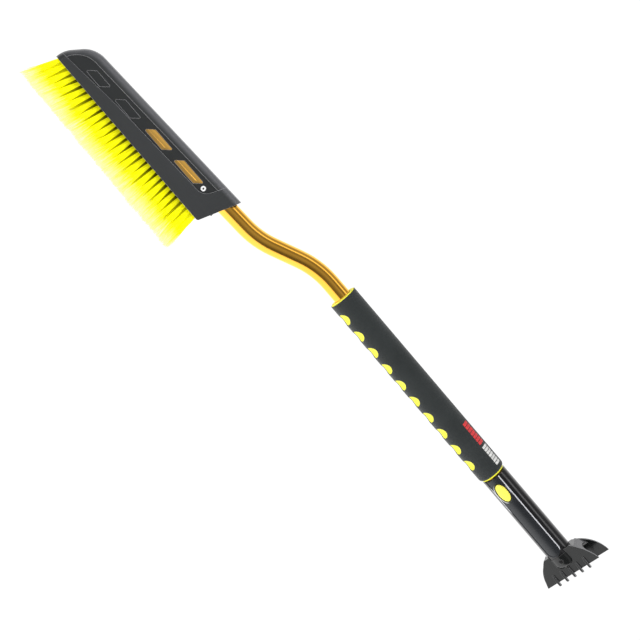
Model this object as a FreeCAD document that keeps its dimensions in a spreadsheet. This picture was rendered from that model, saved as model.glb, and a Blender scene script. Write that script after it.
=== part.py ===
import FreeCAD, Part
import math
import os
import Sketcher

# Windshield ice scraper with a snow brush. The origin is the centre of the foam grip, on the axis
# of its straight tube. +X runs along the tube to the scraper, and the bristles point to -Z.
# Millimetres throughout; angles in degrees.

VEC = FreeCAD.Vector
X_AXIS = VEC(1, 0, 0)
Y_AXIS = VEC(0, 1, 0)
Z_AXIS = VEC(0, 0, 1)

SIZES = [
    # bent tube
    ("tube_radius", 11.0, "outside of the aluminium tube"),
    ("tube_bore", 9.5, "inside of the tube"),
    ("tube_foot_x", 215.0, "tube end inside the scraper socket"),
    ("bend_start_x", -162.0, "where the straight tube starts to bend"),
    ("bend_radius", 110.0, "centreline radius of both bends"),
    ("bend_angle", 24.5, "slope between the two bends"),
    ("bend_straight", 33.4, "straight run between the two bends"),
    ("head_tilt", 3.0, "slope of the tube inside the brush head"),
    ("head_run", 200.0, "straight tube after the second bend"),
    # foam grip
    ("through_all", 60.0, "length of a tool that cuts right through"),
    ("grip_half", 139.5, "half length of the black foam"),
    ("grip_radius", 17.8, "outside of the black foam"),
    ("foam_split", 16.9, "radius where the yellow foam ends and the black foam starts"),
    ("foam_lip", 0.9, "yellow foam that shows past each end of the black foam"),
    ("foam_bore", 11.05, "bore of the foam"),
    ("foam_round", 5.0, "rounding at the scraper end of the foam"),
    ("skin_thick", 0.9, "thickness of the black foam"),
    ("core_round", 4.1, "rounding of the yellow foam under the black foam"),
    ("lip_radius", 15.3, "yellow foam past the scraper end of the black foam"),
    ("lip_start_x", 130.0, "start of the bar that forms the yellow lip"),
    ("bite_radius", 12.0, "radius of a finger scallop"),
    ("bite_axis_z", -26.4, "height of the scallop centres below the grip axis"),
    ("bite_first_x", -118.2, "first scallop, next to the brush end"),
    ("bite_span", 230.4, "first scallop to last scallop"),
    ("bite_count", 10, "finger scallops"),
    ("bite_roll", -18.0, "turn of the scallops about the tube"),
    # brush head
    ("nose_x", -564.5, "nose of the brush head"),
    ("nose_low_z", -60.0, "lower corner of the nose"),
    ("nose_mid_x", -546.5, "middle corner of the nose"),
    ("nose_mid_z", -35.2, "middle corner of the nose"),
    ("nose_end_x", -533.0, "upper corner of the nose"),
    ("nose_end_z", -29.8, "upper corner of the nose"),
    ("nose_round", 30.0, "rounding of the three corners of the nose"),
    ("head_base_z", -70.6, "underside of the head"),
    ("head_end_top_x", -302.0, "top of the slanted end"),
    ("head_end_top_z", -18.4, "top of the slanted end"),
    ("head_end_low_x", -319.5, "bottom of the slanted end"),
    ("head_width", 31.0, "thickness of the head"),
    ("spine_round", 9.5, "rounding along the spine"),
    ("corner_round", 3.0, "rounding of the lower corner"),
    ("split_nose_z", -62.6, "parting line at the nose"),
    ("split_mid_x", -480.0, "parting line, middle point"),
    ("split_mid_z", -54.5, "parting line, middle point"),
    ("split_turn_x", -337.0, "parting line, where it turns up to the collar"),
    ("split_turn_z", -47.0, "parting line, where it turns up to the collar"),
    ("split_top_x", -323.5, "parting line, above the spine"),
    ("split_top_z", -14.0, "parting line, above the spine"),
    ("split_round", 15.0, "rounding of the turn in the parting line"),
    ("clear_z", -5.0, "a height above the whole head"),
    ("clear_x", -580.0, "a place beyond the nose"),
    ("panel_left_x", -557.5, "front end of the sunken side panel"),
    ("panel_left_z", -42.4, "upper left corner of the side panel"),
    ("panel_right_x", -316.0, "rear end of the side panel"),
    ("panel_right_z", -29.4, "upper right corner of the side panel"),
    ("panel_low_z", -80.0, "a height below the head"),
    ("panel_round", 30.0, "rounding of the panel's front corner"),
    ("panel_gap", 28.6, "thickness of the head between its two side panels"),
    ("window_one_left", -429.0, "front window, upper edge from here"),
    ("window_one_right", -398.5, "front window, upper edge to here"),
    ("window_one_top", -38.8, "front window, upper edge"),
    ("window_two_left", -381.0, "rear window, upper edge from here"),
    ("window_two_right", -346.6, "rear window, upper edge to here"),
    ("window_two_top", -36.9, "rear window, upper edge"),
    ("mark_one_left", -522.0, "front blind window, upper edge from here"),
    ("mark_one_right", -498.0, "front blind window, upper edge to here"),
    ("mark_one_top", -45.8, "front blind window, upper edge"),
    ("mark_two_left", -476.5, "rear blind window, upper edge from here"),
    ("mark_two_right", -449.0, "rear blind window, upper edge to here"),
    ("mark_two_top", -42.8, "rear blind window, upper edge"),
    ("window_high", 9.6, "height of a window"),
    ("window_lean", 9.0, "lean of the window ends"),
    ("window_round", 1.2, "corner rounding of the windows"),
    ("mark_depth", 0.5, "depth of the two blind windows"),
    ("head_bore", 11.15, "tube channel in the head"),
    ("rib_half", 10.8, "half width of the base's rib"),
    ("rib_drop", 8.4, "rib top below the tube axis"),
    ("rib_depth", 20.0, "rib foot below the tube axis"),
    ("rib_end", 268.0, "far end of the rib, along the tube axis"),
    ("rib_start", 36.0, "near end of the base's rib, along the tube axis"),
    ("slot_start", 46.0, "near end of the cover's slot for the rib"),
    ("slot_spare", 1.5, "slot past the far end of the rib"),
    ("slot_depth", 32.0, "foot of the slot below the tube axis"),
    ("channel_long", 204.0, "length of the tube channel"),
    # bristles
    ("tuft_count", 28, "tufts in an outer row"),
    ("tuft_first_x", -558.8, "root of the first tuft"),
    ("tuft_last_x", -325.6, "root of the last tuft"),
    ("tuft_row_gap", 9.4, "distance between rows"),
    ("tuft_hole", 2.2, "radius of a tuft hole"),
    ("tuft_hole_depth", 7.0, "depth of a tuft hole"),
    ("tuft_seat", 5.3, "tuft inside its hole"),
    ("tuft_length", 46.0, "free height of the first tuft"),
    ("tuft_length_last", 51.5, "free height of the last tuft"),
    ("tuft_root", 1.95, "tuft radius at the staple"),
    ("tuft_tip", 3.8, "tuft radius at the tips"),
    ("lean_first", -16.5, "lean of the first tuft"),
    ("lean_last", 4.5, "lean of the last tuft"),
    ("row_splay", 6.0, "outward lean of the outer rows"),
    ("staple_high", 1.4, "staple height"),
    ("staple_wide", 3.4, "staple width"),
    ("staple_thick", 0.5, "staple thickness"),
    # fasteners of the head
    ("rivet_x", -342.8, "blind rivet"),
    ("rivet_z", -41.3, "blind rivet"),
    ("rivet_hole", 2.5, "rivet hole radius"),
    ("rivet_shank", 2.4, "rivet shank radius"),
    ("rivet_flange", 3.1, "rivet flange radius"),
    ("rivet_seat_y", 14.3, "rivet flange seat, from the middle plane"),
    ("rivet_top_y", 15.4, "rivet flange top"),
    ("rivet_blind_y", 5.9, "start of the blind bulb"),
    ("rivet_end_y", 2.6, "end of the blind bulb"),
    ("rivet_bulb", 3.0, "blind bulb radius"),
    ("mandrel_bore", 1.1, "bore of the rivet"),
    ("mandrel_radius", 1.05, "mandrel stub radius"),
    ("mandrel_top_y", 14.6, "broken end of the mandrel"),
    ("mandrel_head", 2.2, "mandrel head radius"),
    ("mandrel_end_y", 1.2, "far end of the mandrel head"),
    ("screw_x", -511.2, "head screws, beside a tuft of the middle row"),
    ("screw_y", 5.5, "head screws, between the middle row and an outer row"),
    ("screw_shank", 1.5, "screw shank radius"),
    ("screw_clear", 1.7, "clearance hole radius"),
    ("screw_head", 2.4, "screw head radius"),
    ("screw_head_high", 1.8, "screw head height"),
    ("drive_radius", 1.0, "recess in a screw head"),
    ("drive_deep", 1.0, "depth of that recess"),
    ("screw_sink", 1.0, "head screw sunk into the base"),
    ("recess_radius", 2.7, "recess round a screw head"),
    ("head_screw_long", 29.5, "length of a head screw"),
    ("screw_hole_long", 32.0, "length of a head screw hole"),
    ("plug_flange", 10.9, "tube plug flange radius"),
    ("plug_flange_thick", 1.8, "tube plug flange thickness"),
    ("plug_spigot", 9.45, "tube plug spigot radius"),
    ("plug_depth", 12.0, "tube plug spigot length"),
    # scraper
    ("scraper_roll", 24.0, "turn of the scraper about the tube"),
    ("socket_x", 142.0, "open end of the scraper's socket"),
    ("socket_radius", 16.0, "outside of the scraper shaft"),
    ("socket_bore", 11.05, "bore of the socket"),
    ("socket_floor_x", 217.5, "floor of the socket"),
    ("core_radius", 9.0, "hollow of the shaft past the socket"),
    ("core_end_x", 259.0, "end of the hollow"),
    ("sleeve_x", 267.5, "start of the scraper head's sleeve"),
    ("spigot_radius", 12.2, "spigot of the shaft"),
    ("spigot_end_x", 281.0, "end of the spigot"),
    ("seat_radius", 13.7, "seat of the thumb panel"),
    ("panel_under", 13.75, "underside of the thumb panel"),
    ("panel_over", 15.9, "face of the thumb panel"),
    ("tongue_half", 9.6, "half width of the thumb panel"),
    ("tongue_end_x", 256.4, "centre of the thumb panel's round end"),
    ("tongue_gap", 0.1, "gap round the thumb panel"),
    ("bead_wide", 1.0, "width of the bead round the thumb panel"),
    ("bead_over", 16.4, "top of that bead, from the tube axis"),
    ("button_x", 163.0, "centre of the release button"),
    ("button_long", 11.5, "half length of the button"),
    ("button_wide", 5.6, "half width of the button"),
    ("button_gap", 0.2, "gap round the button"),
    ("button_crown", 17.2, "radius of the button's face about the tube axis"),
    ("flange_over", 15.7, "top of the button's flange"),
    ("flange_under", 15.2, "underside of the button's flange"),
    ("flange_step", 0.9, "flange past the button's side"),
    ("pocket_roof", 15.75, "roof of the flange pocket"),
    ("stem_radius", 3.0, "stem under the button"),
    ("stem_foot", 13.6, "end of the stem, from the tube axis"),
    ("dish_depth", 1.6, "depth of the dish round the button"),
    ("dish_angle", 55.0, "slope of the dish"),
    ("rim_inner", 2.2, "inside of the raised rim, from the button"),
    ("rim_outer", 3.2, "outside of the raised rim, from the button"),
    ("rim_over", 16.7, "top of the raised rim, from the tube axis"),
    ("pin_radius", 3.9, "snap pin"),
    ("pin_top", 13.5, "top of the snap pin, from the tube axis"),
    ("pin_base", 8.4, "foot of the snap pin"),
    ("pin_hole", 4.1, "hole for the snap pin"),
    ("clip_half", 3.5, "half width of the clip's strip"),
    ("clip_thick", 0.6, "thickness of the clip's strip"),
    ("clip_tip_x", 152.0, "free end of the clip"),
    ("clip_back_x", 172.0, "end of the clip's lower leg"),
    ("clip_bend_x", 199.0, "start of the clip's bend"),
    ("clip_nose_x", 206.0, "end of the clip's bend"),
    ("clip_nose_y", 3.0, "half width of the clip's end"),
    # scraper head
    ("sleeve_radius", 16.3, "outside of the sleeve"),
    ("sleeve_bore", 12.3, "bore of the sleeve"),
    ("sleeve_floor_x", 281.6, "floor of the sleeve"),
    ("sleeve_long", 19.0, "length of the sleeve"),
    ("sleeve_round", 9.0, "rounding of the sleeve's end"),
    ("shaft_clear", 16.1, "room in the scraper head for the end of the shaft"),
    ("chip_edge_x", 297.0, "edge of the front plate"),
    ("chip_root_x", 263.5, "root of the front plate, beside the shaft"),
    ("chip_root_half", 19.0, "half width of the front plate at the sleeve"),
    ("chip_edge_half", 38.5, "half width of the front plate at its edge"),
    ("chip_side_radius", 72.0, "curve of the front plate's sides"),
    ("chip_root_y", -12.2, "face of the front plate at the sleeve"),
    ("chip_edge_y", -10.4, "face of the front plate at its edge"),
    ("chip_root_back_y", -9.2, "back of the front plate at the sleeve"),
    ("chip_edge_back_y", -8.6, "back of the front plate at its edge"),
    ("blade_edge_x", 303.0, "edge of the rear blade"),
    ("blade_root_x", 267.5, "root of the rear blade"),
    ("blade_root_half", 16.5, "half width of the rear blade at the sleeve"),
    ("blade_edge_half", 46.5, "half width of the rear blade at its edge"),
    ("blade_side_radius", 42.0, "curve of the rear blade's sides"),
    ("blade_root_y", 12.2, "outer face of the rear blade at the sleeve"),
    ("blade_edge_y", 11.6, "outer face of the rear blade at its edge"),
    ("blade_root_back_y", 9.2, "inner face of the rear blade at the sleeve"),
    ("blade_edge_back_y", 10.6, "inner face of the rear blade at its edge"),
    ("web_end_x", 281.0, "end of the web between the plates"),
    ("web_arch_x", 285.0, "centre of the web's arch"),
    ("web_arch_radius", 9.6, "radius of the web's arch"),
    ("tooth_start_x", 283.5, "start of a tooth's rib"),
    ("tooth_full_x", 287.5, "where a tooth's rib is at full height"),
    ("tooth_tip_x", 301.8, "tip of a tooth"),
    ("tooth_face_y", -13.2, "top of a tooth"),
    ("tooth_foot_y", -9.6, "foot of a tooth"),
    ("tooth_wide", 2.3, "width of a tooth"),
    ("tooth_span", 45.2, "first tooth to last tooth"),
    ("tooth_first_z", -22.6, "first tooth"),
    ("tooth_count", 5, "teeth"),
    ("neck_screw_x", 274.0, "neck screw"),
    ("neck_seat_y", 13.2, "seat of the neck screw's head"),
    ("neck_screw_long", 11.0, "length of the neck screw"),
]

doc = FreeCAD.newDocument("ice_scraper")
sheet = doc.addObject("Spreadsheet::Sheet", "sizes")


def fill_sheet():
    for row, (alias, value, note) in enumerate(SIZES, start=1):
        sheet.set("A%d" % row, alias)
        sheet.set("B%d" % row, str(value))
        sheet.set("C%d" % row, note)
        sheet.setAlias("B%d" % row, alias)
    doc.recompute()


def size(alias):
    return float(sheet.get(alias))


def number(term):
    """Value of an alias, of an alias with a minus sign, or of a plain number."""
    if not isinstance(term, str):
        return float(term)
    if term.startswith("-"):
        return -size(term[1:])
    return size(term)


def formula(term):
    """The same term as a formula for setExpression."""
    if not isinstance(term, str):
        return str(term)
    if term.startswith("-"):
        return "-sizes." + term[1:]
    return "sizes." + term


# ---------- sketches and bodies ----------

def new_body(name):
    return doc.addObject("PartDesign::Body", name)


def new_sketch(body, role, name):
    sketch = body.newObject("Sketcher::SketchObject", name)
    plane = [item for item in body.Origin.OriginFeatures if item.Role == role][0]
    sketch.AttachmentSupport = [(plane, "")]
    sketch.MapMode = "FlatFace"
    return sketch


def pin_point(sketch, geometry, position, corner):
    """Ties a sketch point to its two coordinates."""
    for kind, axis, term in (("DistanceX", -2, corner[0]), ("DistanceY", -1, corner[1])):
        if number(term) == 0:
            sketch.addConstraint(Sketcher.Constraint("PointOnObject", geometry, position, axis))
            continue
        rule = Sketcher.Constraint(kind, -1, 1, geometry, position, number(term))
        index = sketch.addConstraint(rule)
        sketch.setExpression("Constraints[%d]" % index, formula(term))


def bind_rule(sketch, rule, expression):
    index = sketch.addConstraint(rule)
    sketch.setExpression("Constraints[%d]" % index, expression)


def polygon(body, role, name, corners):
    sketch = new_sketch(body, role, name)
    points = [VEC(number(across), number(up), 0) for across, up in corners]
    count = len(points)
    for i in range(count):
        sketch.addGeometry(Part.LineSegment(points[i], points[(i + 1) % count]), False)
    for i in range(count):
        sketch.addConstraint(Sketcher.Constraint("Coincident", i, 2, (i + 1) % count, 1))
    for i, corner in enumerate(corners):
        pin_point(sketch, i, 1, corner)
    return sketch


def pad(body, sketch, length):
    """Pads a sketch equally to both sides of its plane."""
    feature = body.newObject("PartDesign::Pad", sketch.Name + "_pad")
    feature.Profile = sketch
    feature.SideType = "Symmetric"
    feature.setExpression("Length", formula(length))
    doc.recompute()
    return feature


def prism(name, role, corners, length):
    body = new_body(name)
    pad(body, polygon(body, role, name + "_outline", corners), length)
    return body


def round_edges(body, radius, chosen):
    """Fillets the edges of the body's last feature that the test picks."""
    base = body.Tip
    names = ["Edge%d" % (i + 1) for i, edge in enumerate(base.Shape.Edges) if chosen(edge)]
    fillet = body.newObject("PartDesign::Fillet", body.Name + "_round")
    fillet.Base = (base, names)
    fillet.setExpression("Radius", formula(radius))
    body.Tip = fillet
    doc.recompute()
    return fillet


def crosswise_at(x, z, near=0.6):
    """Picks edges that run along Y at one place of the side view."""
    def chosen(edge):
        box = edge.BoundBox
        flat = box.XLength < near and box.ZLength < near and box.YLength > near
        return flat and abs(box.Center.x - x) < near and abs(box.Center.z - z) < near
    return chosen


def turned(name, corners):
    """A solid turned about the X axis from corners given as (x, radius)."""
    body = new_body(name)
    sketch = polygon(body, "XZ_Plane", name + "_section", corners)
    turn = body.newObject("PartDesign::Revolution", name + "_turn")
    turn.Profile = sketch
    turn.ReferenceAxis = (sketch, ["H_Axis"])
    turn.Angle = 360
    doc.recompute()
    return body


# ---------- primitives and booleans ----------

def cylinder(name, radius, length, start, direction):
    """length is an alias, or a number for a tool that only has to be long enough."""
    shape = doc.addObject("Part::Cylinder", name)
    shape.setExpression("Radius", formula(radius))
    shape.setExpression("Height", formula(length))
    shape.Placement = FreeCAD.Placement(start, FreeCAD.Rotation(Z_AXIS, direction))
    return shape


def block(name, low, high):
    shape = doc.addObject("Part::Box", name)
    shape.Length = high.x - low.x
    shape.Width = high.y - low.y
    shape.Height = high.z - low.z
    shape.Placement = FreeCAD.Placement(low, FreeCAD.Rotation())
    return shape


def cut(name, base, tools):
    shape = doc.addObject("Part::Cut", name)
    shape.Base = base
    shape.Tool = tools[0] if len(tools) == 1 else fuse(name + "_tools", tools)
    return shape


def fuse(name, shapes):
    shape = doc.addObject("Part::MultiFuse", name)
    shape.Shapes = shapes
    return shape


def common(name, shapes):
    shape = doc.addObject("Part::MultiCommon", name)
    shape.Shapes = shapes
    return shape


def direct(name, solids):
    """Repeated small pieces, shaped directly and kept as separate solids."""
    feature = doc.addObject("Part::Feature", name)
    feature.Shape = Part.makeCompound(solids)
    return feature


def roll(shape, angle):
    """Turns a finished piece about the tube axis."""
    shape.Placement = FreeCAD.Placement(VEC(), FreeCAD.Rotation(X_AXIS, size(angle)))
    return shape


# ---------- the tube ----------

def bend_points():
    """Ends of the tube's straights and bends, in the XZ plane, and the two bend centres."""
    radius = size("bend_radius")
    slope = math.radians(size("bend_angle"))
    tilt = math.radians(size("head_tilt"))
    first = VEC(size("bend_start_x"), 0, 0)
    centre_one = first + VEC(0, -radius, 0)
    second = centre_one + VEC(-math.sin(slope), math.cos(slope), 0) * radius
    third = second + VEC(-math.cos(slope), -math.sin(slope), 0) * size("bend_straight")
    centre_two = third + VEC(-math.sin(slope), math.cos(slope), 0) * radius
    fourth = centre_two + VEC(math.sin(tilt), -math.cos(tilt), 0) * radius
    last = fourth + VEC(-math.cos(tilt), -math.sin(tilt), 0) * size("head_run")
    return first, centre_one, second, third, centre_two, fourth, last


def head_frame():
    """Placement whose x runs up the tube into the head from the second bend, with z upwards."""
    start = bend_points()[5]
    tilt = size("head_tilt")
    turn = FreeCAD.Rotation(Y_AXIS, -tilt).multiply(FreeCAD.Rotation(Z_AXIS, 180))
    return FreeCAD.Placement(VEC(start.x, 0, start.y), turn)


def tube_path(body):
    first, centre_one, second, third, centre_two, fourth, last = bend_points()
    radius = size("bend_radius")
    slope = math.radians(size("bend_angle"))
    tilt = math.radians(size("head_tilt"))
    quarter = math.pi / 2
    sketch = new_sketch(body, "XZ_Plane", "tube_path")
    foot = VEC(size("tube_foot_x"), 0, 0)
    sketch.addGeometry(Part.LineSegment(foot, first), False)
    circle = Part.Circle(centre_one, Z_AXIS, radius)
    sketch.addGeometry(Part.ArcOfCircle(circle, quarter, quarter + slope), False)
    sketch.addGeometry(Part.LineSegment(second, third), False)
    circle = Part.Circle(centre_two, Z_AXIS, radius)
    sketch.addGeometry(Part.ArcOfCircle(circle, tilt - quarter, slope - quarter), False)
    sketch.addGeometry(Part.LineSegment(fourth, last), False)
    for joint in ((0, 2, 1, 1), (1, 2, 2, 1), (2, 2, 3, 2), (3, 1, 4, 1)):
        sketch.addConstraint(Sketcher.Constraint("Tangent", *joint))
    sketch.addConstraint(Sketcher.Constraint("Horizontal", 0))
    pin_point(sketch, 0, 1, ("tube_foot_x", 0))
    bind_rule(sketch, Sketcher.Constraint("DistanceX", -1, 1, 0, 2, first.x), "sizes.bend_start_x")
    bind_rule(sketch, Sketcher.Constraint("Radius", 1, radius), "sizes.bend_radius")
    bind_rule(sketch, Sketcher.Constraint("Radius", 3, radius), "sizes.bend_radius")
    straight = size("bend_straight")
    bind_rule(sketch, Sketcher.Constraint("Distance", 2, straight), "sizes.bend_straight")
    bind_rule(sketch, Sketcher.Constraint("Distance", 4, size("head_run")), "sizes.head_run")
    drop = "-sizes.bend_straight * sin(sizes.bend_angle)"
    bind_rule(sketch, Sketcher.Constraint("DistanceY", 2, 1, 2, 2, third.y - second.y), drop)
    fall = "-sizes.head_run * sin(sizes.head_tilt)"
    bind_rule(sketch, Sketcher.Constraint("DistanceY", 4, 1, 4, 2, last.y - fourth.y), fall)
    return sketch


def snap_pin_hole(name):
    """A tool along the rolled snap pin, from the tube axis outwards."""
    angle = math.radians(size("scraper_roll"))
    outwards = VEC(0, -math.cos(angle), -math.sin(angle))
    return cylinder(name, "pin_hole", 20, VEC(size("button_x"), 0, 0), outwards)


def rivet_hole(name):
    start = VEC(size("rivet_x"), -20, size("rivet_z"))
    return cylinder(name, "rivet_hole", 40, start, Y_AXIS)


def shaft_tube():
    body = new_body("tube_blank")
    path = tube_path(body)
    ring = new_sketch(body, "YZ_Plane", "tube_section")
    ring.AttachmentOffset = FreeCAD.Placement(VEC(0, 0, size("tube_foot_x")), FreeCAD.Rotation())
    for i, radius in enumerate(("tube_radius", "tube_bore")):
        ring.addGeometry(Part.Circle(VEC(), Z_AXIS, size(radius)), False)
        ring.addConstraint(Sketcher.Constraint("Coincident", i, 3, -1, 1))
        bind_rule(ring, Sketcher.Constraint("Radius", i, size(radius)), "sizes." + radius)
    sweep = body.newObject("PartDesign::AdditivePipe", "tube_sweep")
    sweep.Profile = ring
    sweep.Spine = (path, ["Edge%d" % i for i in range(1, 6)])
    doc.recompute()
    return cut("shaft_tube", body, [snap_pin_hole("tube_pin_hole"), rivet_hole("tube_rivet_hole")])


# ---------- the foam grip ----------

def foam_bar(name, start, end, radius, rounding):
    """A plain foam bar whose scraper end is rounded."""
    body = turned(name, [(start, 0), (end, 0), (end, radius), (start, radius)])
    rim_x = number(end)
    reach = number(radius) - 0.1
    round_edges(body, rounding, lambda edge: is_rim(edge, rim_x, reach))
    return body


def scallop_row():
    """A row of round bars that cut the finger scallops."""
    body = new_body("scallop_row")
    sketch = new_sketch(body, "XZ_Plane", "scallop_circle")
    centre = VEC(size("bite_first_x"), size("bite_axis_z"), 0)
    sketch.addGeometry(Part.Circle(centre, Z_AXIS, size("bite_radius")), False)
    pin_point(sketch, 0, 3, ("bite_first_x", "bite_axis_z"))
    bind_rule(sketch, Sketcher.Constraint("Radius", 0, size("bite_radius")), "sizes.bite_radius")
    bar = pad(body, sketch, "through_all")
    row = body.newObject("PartDesign::LinearPattern", "scallop_pattern")
    row.Originals = [bar]
    row.Direction = (sketch, ["H_Axis"])
    row.setExpression("Length", "sizes.bite_span")
    row.setExpression("Occurrences", "sizes.bite_count")
    body.Tip = row
    doc.recompute()
    return body


def foam_grip():
    """The yellow foam, with a lip past each end, and the thin black foam moulded over it."""
    half = size("grip_half")
    lip = size("foam_lip")
    start = -half - lip
    bar = foam_bar("core_bar", start, half - size("skin_thick"), "foam_split", "core_round")
    lip_start = VEC(size("lip_start_x"), 0, 0)
    lip_bar = cylinder("lip_bar", "lip_radius", half + lip - lip_start.x, lip_start, X_AXIS)
    core = fuse("core_solid", [bar, lip_bar])
    skin = foam_bar("skin_bar", "-grip_half", "grip_half", "grip_radius", "foam_round")
    bore = cylinder("grip_bore", "foam_bore", 2 * (half + lip), VEC(start, 0, 0), X_AXIS)
    scallops = scallop_row()
    inner = cut("grip_inner_foam", core, [bore, scallops])
    outer = cut("grip_outer_foam", skin, [core, scallops])
    return [roll(inner, "bite_roll"), roll(outer, "bite_roll")]


def is_rim(edge, x, reach):
    box = edge.BoundBox
    return box.XLength < 0.1 and abs(box.Center.x - x) < 0.1 and box.YMax > reach


# ---------- the brush head ----------

def head_envelope():
    corners = [
        ("nose_x", "head_base_z"),
        ("nose_x", "nose_low_z"),
        ("nose_mid_x", "nose_mid_z"),
        ("nose_end_x", "nose_end_z"),
        ("head_end_top_x", "head_end_top_z"),
        ("head_end_low_x", "head_base_z"),
    ]
    body = prism("head_envelope", "XZ_Plane", corners, "head_width")
    nose = [crosswise_at(size(x), size(z)) for x, z in (
        ("nose_x", "nose_low_z"), ("nose_mid_x", "nose_mid_z"), ("nose_end_x", "nose_end_z"))]
    round_edges(body, "nose_round", lambda edge: any(corner(edge) for corner in nose))
    low_corner = crosswise_at(size("head_end_low_x"), size("head_base_z"))
    round_edges(body, "corner_round", low_corner)
    side = size("head_width") / 2

    def spine_edge(edge):
        box = edge.BoundBox
        on_side = box.YLength < 0.1 and abs(abs(box.Center.y) - side) < 0.1
        slanted_end = box.XMax > size("head_end_top_x") - 0.1 and box.XLength < 30
        return on_side and box.ZMax > size("split_mid_z") and not slanted_end

    round_edges(body, "spine_round", spine_edge)
    return body


def above_parting_line():
    corners = [
        ("clear_x", "split_nose_z"),
        ("nose_x", "split_nose_z"),
        ("split_mid_x", "split_mid_z"),
        ("split_turn_x", "split_turn_z"),
        ("split_top_x", "split_top_z"),
        ("split_top_x", "clear_z"),
        ("clear_x", "clear_z"),
    ]
    body = prism("above_parting_line", "XZ_Plane", corners, "through_all")
    round_edges(body, "split_round", crosswise_at(size("split_turn_x"), size("split_turn_z")))
    return body


def side_panels():
    corners = [
        ("panel_left_x", "panel_low_z"),
        ("panel_left_x", "panel_left_z"),
        ("panel_right_x", "panel_right_z"),
        ("panel_right_x", "panel_low_z"),
    ]
    body = prism("panel_outline", "XZ_Plane", corners, "through_all")
    round_edges(body, "panel_round", crosswise_at(size("panel_left_x"), size("panel_left_z")))
    return body


def window(name):
    """A leaning window; its upper edge runs between the two x places of its name."""
    left = size(name + "_left")
    right = size(name + "_right")
    top = size(name + "_top")
    low = top - size("window_high")
    lean = size("window_lean")
    corners = [(left - lean, low), (left, top), (right, top), (right - lean, low)]
    body = prism(name, "XZ_Plane", corners, "through_all")
    places = [VEC(across, 0, up) for across, up in corners]

    def corner_edge(edge):
        centre = edge.BoundBox.Center
        return edge.BoundBox.YLength > 1 and min(
            abs(centre.x - place.x) + abs(centre.z - place.z) for place in places) < 0.5

    round_edges(body, "window_round", corner_edge)
    return body


def along_tube_block(name, start, end, half, low, high):
    """A block laid along the tube axis inside the head, measured from the second bend."""
    shape = doc.addObject("Part::Box", name)
    shape.Length = end - start
    shape.Width = 2 * half
    shape.Height = high - low
    corner = FreeCAD.Placement(VEC(start, -half, low), FreeCAD.Rotation())
    shape.Placement = head_frame().multiply(corner)
    return shape


def head_channel(name):
    """The round tube channel of the head, from outside its collar to just past the tube's end."""
    frame = head_frame()
    direction = frame.Rotation.multVec(X_AXIS)
    return cylinder(name, "head_bore", "channel_long", frame.Base, direction)


def screw_places():
    return [VEC(size("screw_x"), side * size("screw_y"), size("head_base_z")) for side in (-1, 1)]


def screw_holes(name, radius):
    holes = []
    for i, place in enumerate(screw_places()):
        start = place - VEC(0, 0, 1)
        holes.append(cylinder("%s_%d" % (name, i), radius, "screw_hole_long", start, Z_AXIS))
    return holes


def slab_beyond(name, inner):
    """Two slabs that cover everything further than inner from the middle plane."""
    low = VEC(size("clear_x"), -30, size("panel_low_z"))
    high = VEC(-300, -inner, 0)
    front = block(name + "_front", low, high)
    rear = block(name + "_rear", VEC(low.x, inner, low.z), VEC(high.x, 30, 0))
    return fuse(name, [front, rear])


def head_cover(envelope, split):
    blank = common("cover_blank", [envelope, split])
    panel_y = size("panel_gap") / 2
    panels = common("panel_cutter", [side_panels(), slab_beyond("panel_slabs", panel_y)])
    slot_end = size("rib_end") + size("slot_spare")
    slot_low = -size("slot_depth")
    half = size("head_bore")
    slot = along_tube_block("cover_slot", size("slot_start"), slot_end, half, slot_low, 0)
    marks = fuse("mark_outlines", [window("mark_one"), window("mark_two")])
    mark_y = panel_y - size("mark_depth")
    blind = common("mark_cutter", [marks, slab_beyond("mark_slabs", mark_y)])
    tools = [
        panels,
        slot,
        blind,
        window("window_one"),
        window("window_two"),
        head_channel("cover_channel"),
        rivet_hole("cover_rivet_hole"),
    ]
    return cut("head_cover", blank, tools + screw_holes("cover_screw_hole", "screw_shank"))


def tuft_lines():
    """Root point and direction of every tuft, row by row from the front."""
    gaps = int(size("tuft_count")) - 1
    rows = []
    for row in (-1, 0, 1):
        tufts = []
        # the middle row's tufts stand half a gap along, so it has one tuft less
        places = [i + 0.5 for i in range(gaps)] if row == 0 else range(gaps + 1)
        for place in places:
            share = place / gaps
            across = size("tuft_first_x") + share * (size("tuft_last_x") - size("tuft_first_x"))
            lean = size("lean_first") + share * (size("lean_last") - size("lean_first"))
            sideways = math.tan(math.radians(row * size("row_splay")))
            direction = VEC(math.tan(math.radians(lean)), sideways, -1)
            root = VEC(across, row * size("tuft_row_gap"), size("head_base_z"))
            tufts.append((root, direction.normalize()))
        rows.append(tufts)
    return rows


def tuft_holes():
    depth = size("tuft_hole_depth")
    holes = []
    for tufts in tuft_lines():
        for root, direction in tufts:
            start = root - direction * depth
            holes.append(Part.makeCylinder(size("tuft_hole"), depth + 3, start, direction))
    return direct("tuft_holes", holes)


def brush_base(envelope, split):
    lower = cut("base_blank", envelope, [split])
    low = -size("rib_depth")
    top = -size("rib_drop")
    start = size("rib_start")
    rib = along_tube_block("base_rib", start, size("rib_end"), size("rib_half"), low, top)
    heads = []
    for i, place in enumerate(screw_places()):
        start = place - VEC(0, 0, 1)
        heads.append(cylinder("screw_recess_%d" % i, "recess_radius", 4, start, Z_AXIS))
    tools = [head_channel("base_channel"), rivet_hole("base_rivet_hole"), tuft_holes()]
    tools += screw_holes("base_screw_hole", "screw_clear") + heads
    return cut("brush_base", fuse("base_with_rib", [lower, rib]), tools)


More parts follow.
